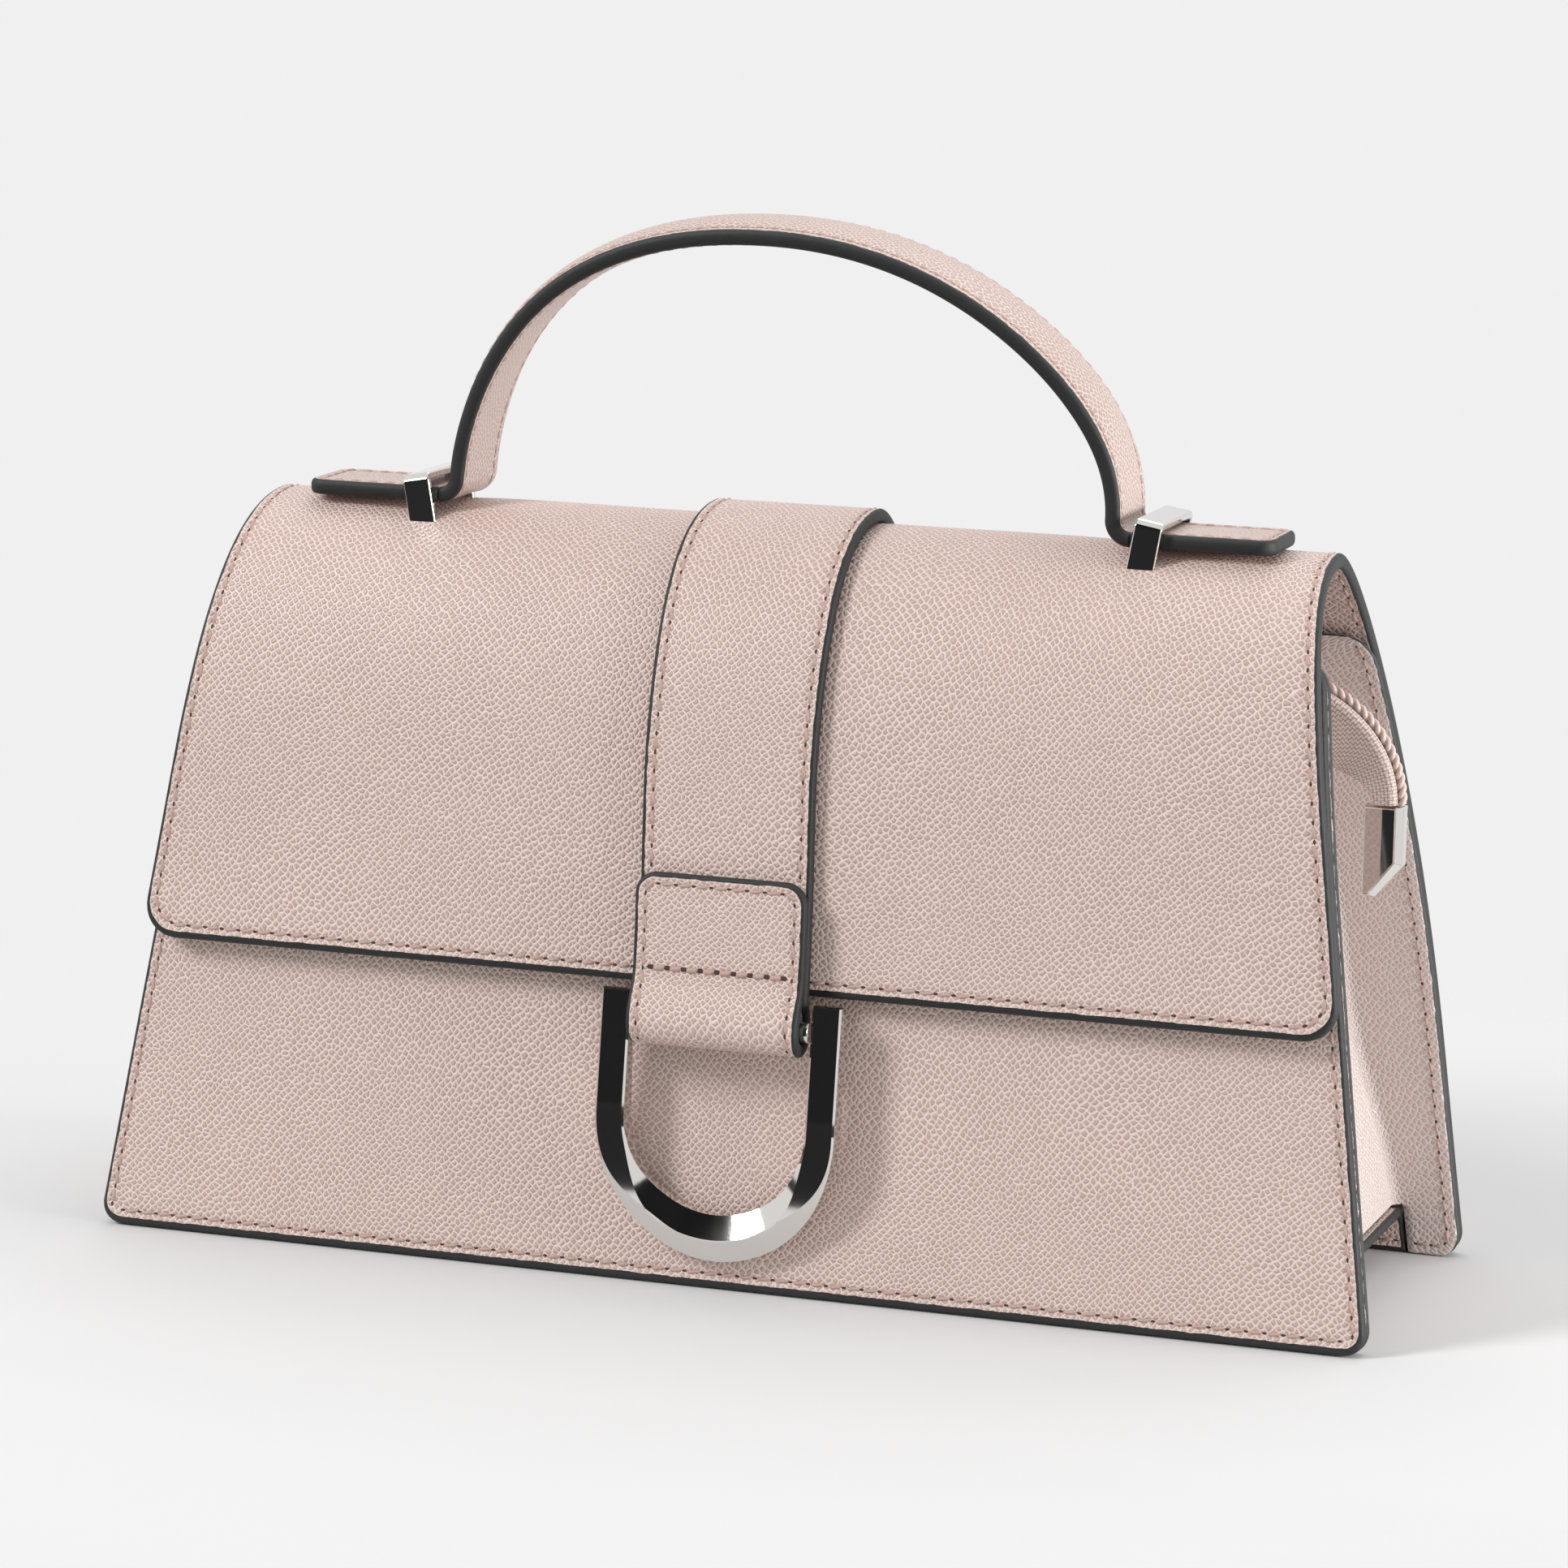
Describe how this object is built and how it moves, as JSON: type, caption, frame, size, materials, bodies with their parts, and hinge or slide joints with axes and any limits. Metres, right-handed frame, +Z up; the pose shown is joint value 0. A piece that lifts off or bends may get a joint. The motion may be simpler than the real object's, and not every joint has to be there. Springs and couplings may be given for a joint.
{
  "type": "crossbody bag",
  "caption": "Structured leather flap bag with an arched top handle held by metal keepers, a centre strap looped round a horseshoe ring, folded gussets and a zipped mouth.",
  "frame": {"origin": "centre of the footprint box, on the floor", "axes": "+X to the right as seen from the front, the front faces -Y, +Z up"},
  "size_m": [0.2686, 0.0958, 0.2095],
  "materials": {
    "leather": "pebble grain, painted edges",
    "textile": "woven",
    "zip_tape": "woven tape",
    "zip_coil": "moulded coil",
    "nickel": "polished nickel",
    "board": "plain stiffener board"
  },
  "bodies": {
    "bag_body": {"front_panel": "leather", "back_panel": "leather", "gusset_left": "leather", "gusset_right": "leather", "base_panel": "leather", "base_board": "board", "front_facing": "leather", "back_facing": "leather", "lining": "textile", "snap_socket": "nickel", "snap_washer": "nickel", "zip_end": "zip_tape", "zip_tail": "zip_tape", "zip_end_cap": "nickel"},
    "flap_body": {"flap": "leather", "flap_lining": "leather", "centre_strap": "leather", "keeper_left": "nickel", "keeper_right": "nickel", "keeper_plate_left": "nickel", "keeper_plate_right": "nickel", "handle_end_left": "leather", "handle_end_right": "leather", "snap_stud": "nickel"},
    "ring_body": {"horseshoe_ring": "nickel", "ring_bar": "nickel"},
    "handle_body": {"handle": "leather"},
    "zip_front": {"zip_tape_front": "zip_tape", "zip_coil_front": "zip_coil"},
    "zip_back": {"zip_tape_back": "zip_tape", "zip_coil_back": "zip_coil"},
    "slider_body": {"zip_slider": "nickel"},
    "puller_body": {"zip_puller": "nickel"}
  },
  "joints": [
    {"name": "flap_hinge", "type": "hinge", "parent": "bag_body", "child": "flap_body", "pos_m": [0, 0.02446, 0.1326], "axis": [-1, 0, 0], "range_deg": [0, 150]},
    {"name": "ring_swing", "type": "hinge", "parent": "flap_body", "child": "ring_body", "pos_m": [0, -0.04277, 0.05506], "axis": [-1, 0, 0], "range_deg": [0, 150]},
    {"name": "handle_tilt", "type": "hinge", "parent": "flap_body", "child": "handle_body", "pos_m": [0, 0.00432, 0.1524], "axis": [1, 0, 0], "range_deg": [-7, 7], "stiffness_Nm_per_rad": 0.05},
    {"name": "zip_front_swing", "type": "hinge", "parent": "bag_body", "child": "zip_front", "pos_m": [0, -0.01414, 0.126], "axis": [-1, 0, 0], "range_deg": [0, 80]},
    {"name": "zip_back_swing", "type": "hinge", "parent": "bag_body", "child": "zip_back", "pos_m": [0, 0.02214, 0.126], "axis": [1, 0, 0], "range_deg": [0, 80]},
    {"name": "slider_slide", "type": "slide", "parent": "bag_body", "child": "slider_body", "axis": [1, 0, 0], "range_m": [0, 0.1763]},
    {"name": "puller_swing", "type": "hinge", "parent": "slider_body", "child": "puller_body", "pos_m": [-0.08815, 0.004, 0.13035], "axis": [0, -1, 0], "range_deg": [0, 170]}
  ]
}
